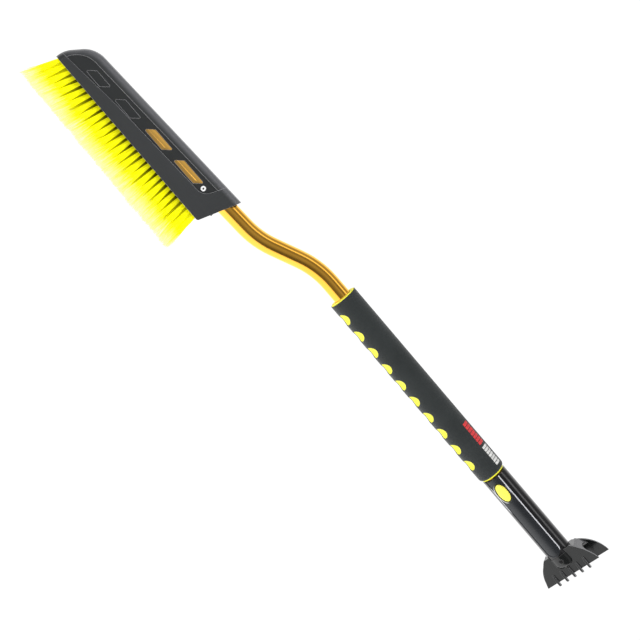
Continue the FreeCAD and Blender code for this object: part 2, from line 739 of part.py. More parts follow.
def bristle_rows():
    seat = size("tuft_seat")
    root_radius = size("tuft_root")
    tip_radius = size("tuft_tip")
    first = size("tuft_length")
    start_x = size("tuft_first_x")
    slope = (size("tuft_length_last") - first) / (size("tuft_last_x") - start_x)
    nodes = []
    for name, tufts in zip(("front", "middle", "rear"), tuft_lines()):
        cones = []
        for root, direction in tufts:
            start = root - direction * seat
            free = first + (root.x - start_x) * slope
            length = seat + free / -direction.z
            cones.append(Part.makeCone(root_radius, tip_radius, length, start, direction))
        nodes.append(direct("bristle_row_" + name, cones))
    return nodes


def tuft_staples():
    high = size("staple_high")
    wide = size("staple_wide")
    thick = size("staple_thick")
    staples = []
    for tufts in tuft_lines():
        for root, direction in tufts:
            staple = Part.makeBox(thick, wide, high, VEC(-thick / 2, -wide / 2, 0))
            foot = root - direction * (size("tuft_seat") + 0.1)
            turn = FreeCAD.Rotation(Z_AXIS, direction * -1)
            staple.Placement = FreeCAD.Placement(foot, turn)
            staples.append(staple)
    return direct("tuft_staples", staples)


def both_sides(name, corners):
    """A turned piece at the rivet's place, and its mirror image on the other side of the head."""
    body = turned(name + "_one", corners)
    body.Placement = FreeCAD.Placement(
        VEC(size("rivet_x"), 0, size("rivet_z")), FreeCAD.Rotation(X_AXIS, Y_AXIS * -1))
    mirror = doc.addObject("Part::Mirroring", name + "_two")
    mirror.Source = body
    mirror.Normal = Y_AXIS
    pair = doc.addObject("Part::Compound", name)
    pair.Links = [body, mirror]
    return pair


def head_rivets():
    corners = [
        ("rivet_end_y", "mandrel_bore"),
        ("rivet_top_y", "mandrel_bore"),
        ("rivet_top_y", "rivet_flange"),
        ("rivet_seat_y", "rivet_flange"),
        ("rivet_seat_y", "rivet_shank"),
        ("rivet_blind_y", "rivet_shank"),
        ("rivet_blind_y", "rivet_bulb"),
        ("rivet_end_y", "rivet_bulb"),
    ]
    return both_sides("head_rivets", corners)


def rivet_mandrels():
    head_y = size("rivet_end_y") - 0.05
    corners = [
        ("mandrel_end_y", 0),
        ("mandrel_top_y", 0),
        ("mandrel_top_y", "mandrel_radius"),
        (head_y, "mandrel_radius"),
        (head_y, "mandrel_head"),
        ("mandrel_end_y", "mandrel_head"),
    ]
    return both_sides("rivet_mandrels", corners)


def pan_screw(name, length, place, direction):
    """A screw whose head's top is at place, and whose shank runs along direction."""
    head = cylinder(name + "_head", "screw_head", "screw_head_high", place, direction)
    shank = cylinder(name + "_shank", "screw_shank", length, place, direction)
    whole = fuse(name + "_whole", [head, shank])
    drive = cylinder(name + "_drive", "drive_radius", "drive_deep", place, direction)
    return cut(name, whole, [drive])


def head_screws():
    screws = []
    for i, place in enumerate(screw_places()):
        start = place + VEC(0, 0, size("screw_sink"))
        screws.append(pan_screw("head_screw_%d" % i, "head_screw_long", start, Z_AXIS))
    pair = doc.addObject("Part::Compound", "head_screws")
    pair.Links = screws
    return pair


def tube_plug():
    frame = head_frame()
    direction = frame.Rotation.multVec(X_AXIS)
    tube_end = frame.Base + direction * size("head_run")
    flange_start = tube_end + direction * 0.1
    flange = cylinder("plug_flange", "plug_flange", "plug_flange_thick", flange_start, direction)
    back = direction * -1
    top = flange_start + direction * 0.5
    spigot = cylinder("plug_spigot", "plug_spigot", "plug_depth", top, back)
    return fuse("tube_plug", [flange, spigot])


# ---------- the snap clip inside the tube ----------

def snap_clip():
    thick = size("clip_thick")
    leg = size("pin_base")
    bend = size("clip_bend_x")
    nose = size("clip_nose_x")
    nose_y = size("clip_nose_y")
    corners = [
        ("clip_tip_x", -leg),
        (bend, -leg),
        (nose, -nose_y),
        (nose, nose_y),
        (bend, leg),
        ("clip_back_x", leg),
        ("clip_back_x", leg - thick),
        (bend - thick / 2, leg - thick),
        (nose - thick, nose_y - thick / 3),
        (nose - thick, thick / 3 - nose_y),
        (bend - thick / 2, thick - leg),
        ("clip_tip_x", thick - leg),
    ]
    strip = prism("clip_strip", "XY_Plane", corners, 2 * size("clip_half"))
    foot = VEC(size("button_x"), thick / 2 - leg, 0)
    high = size("pin_top") - leg + thick / 2
    pin = cylinder("clip_pin", "pin_radius", high, foot, Y_AXIS * -1)
    return roll(fuse("snap_clip", [strip, pin]), "scraper_roll")


# ---------- the scraper, modelled with its thumb panel towards -Y and then rolled ----------

def tongue(name, grow):
    """The thumb panel's outline, from the socket's mouth to its round end, on the -Y side."""
    half = size("tongue_half") + grow
    end = VEC(size("tongue_end_x"), 0, 0)
    start = VEC(size("socket_x") - 5, -20, -half)
    bar = block(name + "_bar", start, VEC(end.x, 0, half))
    tip = cylinder(name + "_tip", half, 20, end, Y_AXIS * -1)
    return fuse(name, [bar, tip])


def round_bar(name, radius):
    """A bar about the tube axis, long enough to bound the whole scraper shaft."""
    return cylinder(name, radius, 150, VEC(size("socket_x"), 0, 0), X_AXIS)


def oval(name, grow, start_y, length, flare=0.0):
    """An oval column at the button's place, from start_y outwards."""
    curve = doc.addObject("Part::Ellipse", name + "_curve")
    curve.setExpression("MajorRadius", "sizes.button_long + %s" % grow)
    curve.setExpression("MinorRadius", "sizes.button_wide + %s" % grow)
    curve.Placement = FreeCAD.Placement(
        VEC(size("button_x"), start_y, 0), FreeCAD.Rotation(X_AXIS, 90))
    column = doc.addObject("Part::Extrusion", name)
    column.Base = curve
    column.DirMode = "Custom"
    column.Dir = Y_AXIS * -1
    column.LengthFwd = length
    column.TaperAngle = flare
    column.Solid = True
    return column


def inward_hole(name, radius, x, start_y, length):
    """A tool along Y at a place on the scraper, from start_y inwards."""
    return cylinder(name, radius, length, VEC(x, start_y, 0), Y_AXIS)


def scraper_shaft():
    corners = [
        ("socket_x", "socket_bore"),
        ("socket_x", "socket_radius"),
        (size("sleeve_x") - 0.2, "socket_radius"),
        (size("sleeve_x") - 0.2, "spigot_radius"),
        ("spigot_end_x", "spigot_radius"),
        ("spigot_end_x", 0),
        ("core_end_x", 0),
        ("core_end_x", "core_radius"),
        ("socket_floor_x", "core_radius"),
        ("socket_floor_x", "socket_bore"),
    ]
    blank = turned("shaft_blank", corners)
    outline = tongue("seat_outline", size("tongue_gap"))
    seat = cut("panel_seat", outline, [round_bar("seat_bar", "seat_radius")])
    pin_hole = inward_hole("socket_pin_hole", "pin_hole", size("button_x"), -20, 20)
    screw_x = size("neck_screw_x")
    screw_start = -size("spigot_radius") - 1
    screw_hole = inward_hole("spigot_screw_hole", "screw_shank", screw_x, screw_start, 10)
    return roll(cut("scraper_shaft", blank, [seat, pin_hole, screw_hole]), "scraper_roll")


def thumb_panel():
    outline = tongue("panel_tongue", 0.0)
    face = round_bar("panel_face", "panel_over")
    inside = tongue("bead_inside", -size("bead_wide"))
    bead_ring = cut("bead_ring", outline, [inside])
    bead = common("panel_bead", [bead_ring, round_bar("bead_bar", "bead_over")])
    rim_ring = cut("rim_ring", oval("rim_outer_oval", size("rim_outer"), 0, 25),
                   [oval("rim_inner_oval", size("rim_inner"), 0, 25)])
    rim = common("button_rim", [rim_ring, round_bar("rim_bar", "rim_over")])
    blank = fuse("panel_blank", [common("panel_plain", [outline, face]), bead, rim])
    start = VEC(size("socket_x") - 6, -20, -20)
    mouth = block("panel_mouth", start, VEC(size("socket_x") + 0.2, 20, 20))
    opening = oval("button_opening", size("button_gap"), 0, 25)
    flange_room = oval("flange_room", size("flange_step") + size("button_gap"), 0, 25)
    pocket = common("flange_pocket", [flange_room, round_bar("pocket_roof_bar", "pocket_roof")])
    dish_start = size("dish_depth") - size("panel_over")
    dish = oval("button_dish", size("button_gap"), dish_start, 4, size("dish_angle"))
    under = round_bar("panel_under_bar", "panel_under")
    return roll(cut("thumb_panel", blank, [mouth, opening, pocket, dish, under]), "scraper_roll")


def release_button():
    face = common("button_cap", [oval("cap_oval", 0, 0, 25), round_bar("cap_bar", "button_crown")])
    flange_oval = oval("flange_oval", size("flange_step"), 0, 25)
    flange = common("button_flange", [flange_oval, round_bar("flange_bar", "flange_over")])
    solid = fuse("button_solid", [face, flange])
    shell = cut("button_shell", solid, [round_bar("button_under", "flange_under")])
    stem_long = size("flange_under") + 0.3 - size("stem_foot")
    foot = VEC(size("button_x"), -size("stem_foot"), 0)
    stem = cylinder("button_stem", "stem_radius", stem_long, foot, Y_AXIS * -1)
    return roll(fuse("release_button", [shell, stem]), "scraper_roll")


def fan(name, root_x, edge_x, root_half, edge_half, side_radius):
    """A fan outline from a plate's root to its edge, with bulging sides."""
    body = new_body(name)
    sketch = new_sketch(body, "XZ_Plane", name + "_outline")
    root = size(root_x)
    edge = size(edge_x)
    wide = size(edge_half)
    narrow = size(root_half)
    places = [VEC(edge, -wide, 0), VEC(edge, wide, 0), VEC(root, narrow, 0), VEC(root, -narrow, 0)]
    radius = size(side_radius)
    sketch.addGeometry(Part.LineSegment(places[0], places[1]), False)
    sketch.addGeometry(side_arc(places[1], places[2], radius), False)
    sketch.addGeometry(Part.LineSegment(places[2], places[3]), False)
    sketch.addGeometry(side_arc(places[3], places[0], radius), False)
    for i in range(4):
        sketch.addConstraint(Sketcher.Constraint("Coincident", i, 2, (i + 1) % 4, 1))
    pin_point(sketch, 0, 1, (edge_x, "-" + edge_half))
    pin_point(sketch, 0, 2, (edge_x, edge_half))
    pin_point(sketch, 2, 1, (root_x, root_half))
    pin_point(sketch, 2, 2, (root_x, "-" + root_half))
    for side in (1, 3):
        rule = Sketcher.Constraint("Radius", side, radius)
        bind_rule(sketch, rule, "sizes." + side_radius)
    pad(body, sketch, "through_all")
    return body


def side_arc(start, end, radius):
    """A shallow arc that turns anticlockwise from start to end."""
    chord = end - start
    half = chord.Length / 2
    left = VEC(-chord.y, chord.x, 0).normalize()
    middle = (start + end) * 0.5
    bulge = radius - math.sqrt(radius * radius - half * half)
    return Part.Arc(start, middle - left * bulge, end)


def plate(name, fan_body, root_x, edge_x, faces):
    """A fan-shaped plate; faces are its outer and inner heights at the root and at the edge."""
    root_y, edge_y, root_back_y, edge_back_y = faces
    corners = [
        (root_x, root_y),
        (edge_x, edge_y),
        (edge_x, edge_back_y),
        (root_x, root_back_y),
    ]
    slab = prism(name + "_slab", "XY_Plane", corners, 120)
    return common(name, [fan_body, slab])


def teeth():
    body = new_body("teeth")
    corners = [
        ("tooth_start_x", "tooth_foot_y"),
        ("tooth_full_x", "tooth_face_y"),
        (size("tooth_tip_x") - 2.0, "tooth_face_y"),
        ("tooth_tip_x", size("tooth_face_y") + 1.4),
        ("tooth_tip_x", "tooth_foot_y"),
    ]
    sketch = polygon(body, "XY_Plane", "tooth_outline", corners)
    offset = VEC(0, 0, size("tooth_first_z"))
    sketch.AttachmentOffset = FreeCAD.Placement(offset, FreeCAD.Rotation())
    tooth = pad(body, sketch, "tooth_wide")
    row = body.newObject("PartDesign::LinearPattern", "tooth_row")
    row.Originals = [tooth]
    row.Direction = (sketch, ["N_Axis"])
    row.setExpression("Length", "sizes.tooth_span")
    row.setExpression("Occurrences", "sizes.tooth_count")
    body.Tip = row
    doc.recompute()
    return body


def sleeve_blank():
    """The sleeve round the shaft's spigot, with its far end rounded."""
    end = size("sleeve_x") + size("sleeve_long")
    body = turned("sleeve", [
        ("sleeve_x", 0),
        (end, 0),
        (end, "sleeve_radius"),
        ("sleeve_x", "sleeve_radius"),
    ])
    reach = size("sleeve_radius") - 0.1
    round_edges(body, "sleeve_round", lambda edge: is_rim(edge, end, reach))
    return body


def plate_web(chip_fan):
    """The web that ties the front plate to the rear blade, hollowed by an arch."""
    reach = size("chip_edge_half")
    low = VEC(size("sleeve_x"), size("chip_root_back_y") - 0.3, -reach)
    high = VEC(size("web_end_x"), size("blade_root_back_y") + 0.3, reach)
    outline = common("web_outline", [block("web_block", low, high), chip_fan])
    arch_start = VEC(size("web_arch_x"), 0, -reach)
    arch = cylinder("web_arch", "web_arch_radius", 2 * reach, arch_start, Z_AXIS)
    return cut("web", outline, [arch])


def scraper_head():
    chip_fan = fan("chip_fan", "chip_root_x", "chip_edge_x", "chip_root_half", "chip_edge_half",
                   "chip_side_radius")
    blade_fan = fan("blade_fan", "blade_root_x", "blade_edge_x", "blade_root_half",
                    "blade_edge_half", "blade_side_radius")
    chip_faces = ("chip_root_y", "chip_edge_y", "chip_root_back_y", "chip_edge_back_y")
    blade_faces = ("blade_root_y", "blade_edge_y", "blade_root_back_y", "blade_edge_back_y")
    chip = plate("chip_plate", chip_fan, "chip_root_x", "chip_edge_x", chip_faces)
    blade = plate("blade_plate", blade_fan, "blade_root_x", "blade_edge_x", blade_faces)
    whole = fuse("head_solid", [chip, blade, plate_web(chip_fan), sleeve_blank(), teeth()])
    bore_long = size("sleeve_floor_x") - size("sleeve_x") + 5
    bore_start = VEC(size("sleeve_x") - 5, 0, 0)
    bore = cylinder("sleeve_bore", "sleeve_bore", bore_long, bore_start, X_AXIS)
    screw_x = size("neck_screw_x")
    hole = inward_hole("neck_hole", "screw_clear", screw_x, -20, 15)
    recess = inward_hole("neck_recess", "recess_radius", screw_x, -20, 20 - size("neck_seat_y"))
    room_long = size("sleeve_x") - size("core_end_x")
    room_start = VEC(size("core_end_x"), 0, 0)
    room = cylinder("shaft_room", "shaft_clear", room_long, room_start, X_AXIS)
    return roll(cut("scraper_head", whole, [bore, hole, recess, room]), "scraper_roll")


def neck_screw():
    top = VEC(size("neck_screw_x"), -size("neck_seat_y") - size("screw_head_high"), 0)
    screw = pan_screw("neck_screw", "neck_screw_long", top, Y_AXIS)
    return roll(screw, "scraper_roll")


# ---------- checks and export ----------

def check_document():
    for item in doc.Objects:
        if "Invalid" in item.State or "Error" in item.State:
            raise RuntimeError("%s failed: %s" % (item.Name, item.State))


def export(nodes):
    os.makedirs("parts", exist_ok=True)
    for node in nodes:
        node.Label = node.Name
        shape = node.Shape
        if shape.isNull() or not shape.isValid() or not shape.Solids:
            raise RuntimeError("%s has no valid solid" % node.Label)
        shape.exportStep(os.path.join("parts", node.Label + ".step"))
        print("%-20s %3d solids %10.1f mm3" % (node.Label, len(shape.Solids), shape.Volume))


def main():
    fill_sheet()
    envelope = head_envelope()
    split = above_parting_line()
    nodes = foam_grip() + bristle_rows() + [
        shaft_tube(),
        head_cover(envelope, split),
        brush_base(envelope, split),
        tuft_staples(),
        head_rivets(),
        rivet_mandrels(),
        head_screws(),
        tube_plug(),
        snap_clip(),
        scraper_shaft(),
        thumb_panel(),
        release_button(),
        scraper_head(),
        neck_screw(),
    ]
    doc.recompute()
    check_document()
    export(nodes)


main()
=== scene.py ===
import math
import random

import bpy
from mathutils import Matrix, Vector

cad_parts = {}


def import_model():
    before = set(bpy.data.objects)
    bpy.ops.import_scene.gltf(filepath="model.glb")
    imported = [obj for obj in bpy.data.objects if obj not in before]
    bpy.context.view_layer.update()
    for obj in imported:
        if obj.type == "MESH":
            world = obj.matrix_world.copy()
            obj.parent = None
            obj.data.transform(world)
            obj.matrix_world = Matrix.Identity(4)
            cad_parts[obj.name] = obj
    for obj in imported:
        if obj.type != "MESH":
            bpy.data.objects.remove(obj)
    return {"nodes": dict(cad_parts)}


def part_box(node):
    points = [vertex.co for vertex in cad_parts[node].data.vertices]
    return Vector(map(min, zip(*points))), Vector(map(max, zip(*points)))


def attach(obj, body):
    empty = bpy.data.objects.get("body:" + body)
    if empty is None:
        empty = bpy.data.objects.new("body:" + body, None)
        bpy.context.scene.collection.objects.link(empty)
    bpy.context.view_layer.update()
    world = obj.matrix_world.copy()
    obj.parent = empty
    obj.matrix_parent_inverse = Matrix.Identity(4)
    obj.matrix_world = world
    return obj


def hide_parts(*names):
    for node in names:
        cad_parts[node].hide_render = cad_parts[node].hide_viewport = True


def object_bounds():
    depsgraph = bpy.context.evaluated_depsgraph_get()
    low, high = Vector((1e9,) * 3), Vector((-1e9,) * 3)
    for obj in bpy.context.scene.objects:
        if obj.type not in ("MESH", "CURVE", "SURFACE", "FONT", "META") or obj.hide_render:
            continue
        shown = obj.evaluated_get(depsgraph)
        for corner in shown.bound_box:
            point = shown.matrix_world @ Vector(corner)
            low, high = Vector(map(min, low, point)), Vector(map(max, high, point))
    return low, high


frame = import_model()
cad_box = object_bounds()
nodes = frame["nodes"]
MM = 0.001


# Places along the tool that the materials use, in metres.
HEAD_END_X = -0.320
HEAD_INSIDE_X = -0.335
SIDE_FACE_Y = 0.0150
SUNKEN_FACE_Y = 0.0145
RIDGE_FOOT_RADIUS = 0.01600
RIDGE_TOP_RADIUS = 0.01612


# ---------- small helpers for node materials ----------

class Shader:
    """A node material, with short calls for the nodes this scene uses."""

    def __init__(self, name):
        self.material = bpy.data.materials.new(name)
        self.material.use_nodes = True
        self.tree = self.material.node_tree
        self.tree.nodes.clear()
        self.output = self.add("ShaderNodeOutputMaterial")
        self.surface = self.add("ShaderNodeBsdfPrincipled")
        self.tree.links.new(self.surface.outputs[0], self.output.inputs["Surface"])
        self.place = self.add("ShaderNodeTexCoord").outputs["Object"]

    def add(self, kind, **settings):
        node = self.tree.nodes.new(kind)
        for name, value in settings.items():
            setattr(node, name, value)
        return node

    def feed(self, node, socket, value):
        if value is None:
            return
        if isinstance(value, bpy.types.NodeSocket):
            self.tree.links.new(value, node.inputs[socket])
        else:
            node.inputs[socket].default_value = value

    def set(self, **values):
        for name, value in values.items():
            self.feed(self.surface, name.replace("_", " "), value)

    def stretch(self, scale):
        node = self.add("ShaderNodeMapping")
        self.feed(node, "Vector", self.place)
        node.inputs["Scale"].default_value = scale
        return node.outputs[0]

    def noise(self, scale, detail=2.0, roughness=0.5, vector=None):
        node = self.add("ShaderNodeTexNoise")
        self.feed(node, "Vector", vector or self.place)
        node.inputs["Scale"].default_value = scale
        node.inputs["Detail"].default_value = detail
        node.inputs["Roughness"].default_value = roughness
        return node.outputs["Fac"]

    def cells(self, scale, feature="F1", vector=None):
        node = self.add("ShaderNodeTexVoronoi", feature=feature)
        self.feed(node, "Vector", vector or self.place)
        node.inputs["Scale"].default_value = scale
        return node.outputs["Distance"]

    def ramp(self, value, low, high, out_low=0.0, out_high=1.0):
        node = self.add("ShaderNodeMapRange")
        self.feed(node, "Value", value)
        for socket, number in (("From Min", low), ("From Max", high),
                               ("To Min", out_low), ("To Max", out_high)):
            self.feed(node, socket, number)
        return node.outputs[0]

    def math(self, operation, first, second=None):
        node = self.add("ShaderNodeMath", operation=operation)
        self.feed(node, 0, first)
        self.feed(node, 1, second)
        return node.outputs[0]

    def mix(self, share, first, second):
        node = self.add("ShaderNodeMix", data_type="RGBA")
        self.feed(node, 0, share)
        self.feed(node, 6, first)
        self.feed(node, 7, second)
        return node.outputs[2]

    def bump(self, height, distance, strength=1.0, normal=None):
        node = self.add("ShaderNodeBump")
        self.feed(node, "Height", height)
        self.feed(node, "Distance", distance)
        self.feed(node, "Strength", strength)
        self.feed(node, "Normal", normal)
        return node.outputs[0]

    def soft_edges(self, radius):
        node = self.add("ShaderNodeBevel", samples=6)
        node.inputs["Radius"].default_value = radius
        return node.outputs[0]

    def edge_mask(self, radius):
        """0 on flat faces, towards 1 on edges, which take a tone that is partly wear and partly
        painted highlight.
        """
        bevel = self.soft_edges(radius)
        geometry = self.add("ShaderNodeNewGeometry")
        dot = self.add("ShaderNodeVectorMath", operation="DOT_PRODUCT")
        self.feed(dot, 0, bevel)
        self.feed(dot, 1, geometry.outputs["Normal"])
        return self.ramp(dot.outputs["Value"], 0.97, 0.80, 0.0, 1.0)


def rgba(red, green, blue):
    return (red, green, blue, 1.0)


def shade_of(colour, factor):
    return tuple(channel * factor for channel in colour[:3]) + (1.0,)


# ---------- materials ----------

def gold_tube():
    """Gold metal, with a painted glow inside the head so that it shows through the windows."""
    s = Shader("gold_anodised_tube")
    drawn = s.noise(260.0, 2.0, 0.5, s.stretch((0.02, 1.0, 1.0)))
    cloud = s.noise(18.0, 2.0)
    colour = s.mix(s.ramp(cloud, 0.35, 0.65), rgba(0.88, 0.45, 0.058), rgba(0.93, 0.49, 0.070))
    split = s.add("ShaderNodeSeparateXYZ")
    s.feed(split, 0, s.place)
    # Painted glow: inside the head the tube gives off its own gold light, up to 0.30 past
    # HEAD_INSIDE_X.
    painted_glow = s.ramp(split.outputs["X"], HEAD_END_X, HEAD_INSIDE_X, 0.0, 0.30)
    s.set(Base_Color=colour, Metallic=1.0)
    s.set(Emission_Color=rgba(0.90, 0.56, 0.16), Emission_Strength=painted_glow)
    s.set(Roughness=s.ramp(drawn, 0.3, 0.7, 0.13, 0.17))
    s.set(Normal=s.bump(cloud, 0.0004, 0.15))
    return s.material


def foam(name, dark, light):
    s = Shader(name)
    cells = s.cells(1500.0)
    pores = s.cells(520.0)
    grain = s.noise(2600.0, 2.0)
    cloud = s.noise(30.0, 3.0)
    height = s.math("ADD", s.math("MULTIPLY", cells, 0.6), s.math("MULTIPLY", pores, 0.5))
    height = s.math("ADD", height, s.math("MULTIPLY", grain, 0.5))
    shade = s.math("ADD", s.math("MULTIPLY", cloud, 0.6), s.math("MULTIPLY", cells, 0.5))
    s.set(Base_Color=s.mix(s.ramp(shade, 0.3, 0.9), dark, light), Roughness=0.92)
    s.set(Normal=s.bump(height, 0.00025, 0.9))
    s.set(Sheen_Weight=0.25, Sheen_Roughness=0.5)
    return s.material


def moulded(name, colour, edge_wear_and_highlight, roughness, grain_scale, grain_depth, edge=0.0006, sunken=None,
            painted_top_light=None, painted_top_light_from=0.12):
    """Moulded plastic. Edges take a tone that is partly wear and partly painted highlight, sunken
    is the tone of recessed faces, and faces that look up take a painted light tone.
    """
    s = Shader(name)
    grain = s.noise(grain_scale, 3.0, 0.6)
    flow = s.noise(22.0, 3.0, 0.5, s.stretch((0.25, 1.0, 1.0)))
    scratches = s.noise(420.0, 2.0, 0.6, s.stretch((0.05, 1.0, 1.0)))
    edge_share = s.edge_mask(edge)
    # Painted highlight mixed with wear: edges turn towards the edge tone.
    wear_and_highlight_share = s.math("MULTIPLY", edge_share, s.ramp(flow, 0.3, 0.7, 0.5, 0.9))
    tone = s.mix(s.ramp(flow, 0.25, 0.75, 0.0, 1.0), colour, shade_of(colour, 1.18))
    if sunken:
        split = s.add("ShaderNodeSeparateXYZ")
        s.feed(split, 0, s.place)
        depth = s.math("ABSOLUTE", split.outputs["Y"])
        tone = s.mix(s.ramp(depth, SIDE_FACE_Y, SUNKEN_FACE_Y), tone, sunken)
    # Painted light from above: faces that look up are coloured lighter.
    if painted_top_light:
        facing = s.add("ShaderNodeSeparateXYZ")
        s.feed(facing, 0, s.add("ShaderNodeNewGeometry").outputs["Normal"])
        tone = s.mix(s.ramp(facing.outputs["Z"], painted_top_light_from, painted_top_light_from + 0.5), tone, painted_top_light)
    s.set(Base_Color=s.mix(wear_and_highlight_share, tone, edge_wear_and_highlight))
    rough = s.ramp(flow, 0.3, 0.7, roughness - 0.04, roughness + 0.05)
    rough = s.math("ADD", rough, s.ramp(scratches, 0.55, 0.8, 0.0, 0.10))
    s.set(Roughness=rough)
    s.set(Normal=s.bump(grain, grain_depth, 0.5, s.soft_edges(edge)))
    return s.material


def ridged_panel():
    """Satin plastic with a painted highlight on its upper ridge and on the rim below the button."""
    s = Shader("panel_plastic")
    split = s.add("ShaderNodeSeparateXYZ")
    s.feed(split, 0, s.place)
    x, y, z = (split.outputs[axis] for axis in "XYZ")
    radius = s.math("SQRT", s.math("ADD", s.math("MULTIPLY", y, y), s.math("MULTIPLY", z, z)))
    raised = s.ramp(radius, RIDGE_FOOT_RADIUS, RIDGE_TOP_RADIUS)
    painted_top_light = s.ramp(z, 0.0012, 0.0022)
    near_button = s.math("MULTIPLY", s.ramp(x, 0.148, 0.154), s.ramp(x, 0.192, 0.186))
    below_button = s.math("MULTIPLY", near_button, s.ramp(z, -0.0075, -0.0095))
    lit = s.math("MULTIPLY", raised, s.math("MAXIMUM", painted_top_light, below_button))
    cloud = s.noise(60.0, 3.0)
    grain = s.noise(1800.0, 2.0)
    plain = s.mix(cloud, rgba(0.010, 0.012, 0.015), rgba(0.018, 0.021, 0.026))
    # Painted highlight: the top ridge and the rim under the button are coloured pale.
    s.set(Base_Color=s.mix(lit, plain, rgba(0.62, 0.63, 0.66)))
    s.set(Roughness=s.ramp(cloud, 0.3, 0.7, 0.36, 0.44))
    s.set(Normal=s.bump(grain, 0.00002, 0.5, s.soft_edges(0.0003)))
    return s.material


def bristle(name, shade, reach):
    """Yellow with pale split tips and painted shadow at the roots. shade is how dark the painted
    root shadow is, reach how far down it goes.
    """
    s = Shader(name)
    share = s.add("ShaderNodeAttribute", attribute_name="along").outputs["Fac"]
    own = s.add("ShaderNodeAttribute", attribute_name="own_tone").outputs["Fac"]
    root_shadow_share = s.add("ShaderNodeAttribute", attribute_name="root_shadow_share").outputs["Fac"]
    bright = s.mix(own, rgba(0.90, 0.87, 0.0), rgba(1.0, 1.0, 0.0))
    pale = s.mix(own, rgba(0.98, 0.98, 0.34), rgba(1.0, 1.0, 0.78))
    ragged = s.math("ADD", share, s.math("MULTIPLY", own, 0.16))
    colour = s.mix(s.ramp(ragged, 0.64, 0.96), bright, pale)
    depth = s.math("ADD", share, s.math("MULTIPLY", own, 0.10))
    # Painted shadow: the roots darken towards near black, less in the tufts at the ends of a row.
    dark = s.math("MULTIPLY", root_shadow_share, s.ramp(depth, 0.05, reach, shade, 0.0))
    colour = s.mix(dark, colour, rgba(0.03, 0.027, 0.0))
    s.set(Base_Color=colour, Roughness=0.42)
    # Painted glow: the bristles give off light in their own colour.
    s.set(Emission_Color=colour, Emission_Strength=0.36)
    soft = s.add("ShaderNodeBsdfTranslucent")
    s.feed(soft, "Color", colour)
    both = s.add("ShaderNodeMixShader")
    both.inputs[0].default_value = 0.30
    s.tree.links.new(s.surface.outputs[0], both.inputs[1])
    s.tree.links.new(soft.outputs[0], both.inputs[2])
    s.tree.links.new(both.outputs[0], s.output.inputs["Surface"])
    return s.material


def steel(name, dark, light, roughness=0.26, metallic=1.0):
    s = Shader(name)
    fine = s.noise(2400.0, 2.0)
    s.set(Base_Color=s.mix(fine, dark, light), Metallic=metallic)
    s.set(Roughness=s.ramp(fine, 0.3, 0.7, roughness - 0.04, roughness + 0.10))
    s.set(Normal=s.soft_edges(0.0003))
    return s.material


def ink(name, colour):
    s = Shader(name)
    cells = s.cells(1500.0)
    cloud = s.noise(240.0, 3.0)
    s.set(Base_Color=s.mix(s.ramp(cloud, 0.35, 0.7, 0.0, 0.35), colour, rgba(0.09, 0.09, 0.09)))
    s.set(Roughness=0.7, Normal=s.bump(cells, 0.0002, 0.8))
    return s.material


def dress(node, material):
    mesh = nodes[node].data
    mesh.materials.clear()
    mesh.materials.append(material)
    for polygon in mesh.polygons:
        polygon.material_index = 0


MATERIALS = {
    "gold": gold_tube(),
    "black_foam": foam("black_foam", rgba(0.014, 0.018, 0.018), rgba(0.028, 0.033, 0.034)),
    "yellow_foam": foam("yellow_foam", rgba(0.95, 0.90, 0.01), rgba(1.0, 1.0, 0.05)),
    # Each moulded plastic's second colour is its edge tone, partly wear and partly painted
    # highlight; the head's pale one paints the light lines on its edges.
    "head": moulded("head_plastic", rgba(0.029, 0.031, 0.033), rgba(0.50, 0.50, 0.52), 0.34,
                    1400.0, 0.00002, 0.0009, rgba(0.020, 0.022, 0.023),
                    # painted sheen on the head's up-facing spine
                    rgba(0.105, 0.106, 0.115)),
    "panel": ridged_panel(),
    "gloss": moulded("gloss_plastic", rgba(0.008, 0.008, 0.009), rgba(0.10, 0.10, 0.10), 0.14,
                     90.0, 0.00002, 0.0007),
    "scraper": moulded("scraper_plastic", rgba(0.006, 0.007, 0.007), rgba(0.14, 0.14, 0.14), 0.18,
                       # painted highlight on the scraper's up-facing faces
                       90.0, 0.00002, 0.0007, None, rgba(0.18, 0.18, 0.19), 0.48),
    "button": moulded("button_plastic", rgba(1.0, 0.92, 0.10), rgba(1.0, 0.97, 0.42), 0.36,
                      1600.0, 0.00002, 0.0006),
    "acetal": moulded("acetal", rgba(0.62, 0.60, 0.53), rgba(0.75, 0.73, 0.66), 0.40,
                      900.0, 0.00003, 0.0003),
    "steel": steel("zinc_steel", rgba(0.70, 0.71, 0.73), rgba(0.88, 0.88, 0.90)),
    "rivet": steel("bright_rivet", rgba(0.86, 0.86, 0.87), rgba(0.95, 0.95, 0.96), 0.26, 0.2),
    "mandrel": steel("mandrel_steel", rgba(0.07, 0.07, 0.07), rgba(0.13, 0.13, 0.13), 0.40),
    "black_steel": steel("black_steel", rgba(0.030, 0.030, 0.032), rgba(0.06, 0.06, 0.06), 0.34),
    # Bristles: how dark the painted root shadow is and how far down it goes; the middle row's roots
    # are painted near black.
    "bristle_outer": bristle("yellow_bristle", 0.30, 0.40),
    "bristle_middle": bristle("yellow_bristle_middle", 1.0, 0.74),
    "red_ink": ink("red_ink", rgba(0.80, 0.040, 0.045)),
    "white_ink": ink("white_ink", rgba(0.86, 0.86, 0.84)),
}

FINISHES = {
    "shaft_tube": "gold",
    "head_cover": "head",
    "brush_base": "head",
    "tuft_staples": "steel",
    "head_rivets": "rivet",
    "rivet_mandrels": "mandrel",
    "head_screws": "steel",
    "tube_plug": "head",
    "snap_clip": "acetal",
    "scraper_shaft": "gloss",
    "scraper_head": "scraper",
    "thumb_panel": "panel",
    "neck_screw": "black_steel",
    "release_button": "button",
}
for node_name, finish in FINISHES.items():
    dress(node_name, MATERIALS[finish])


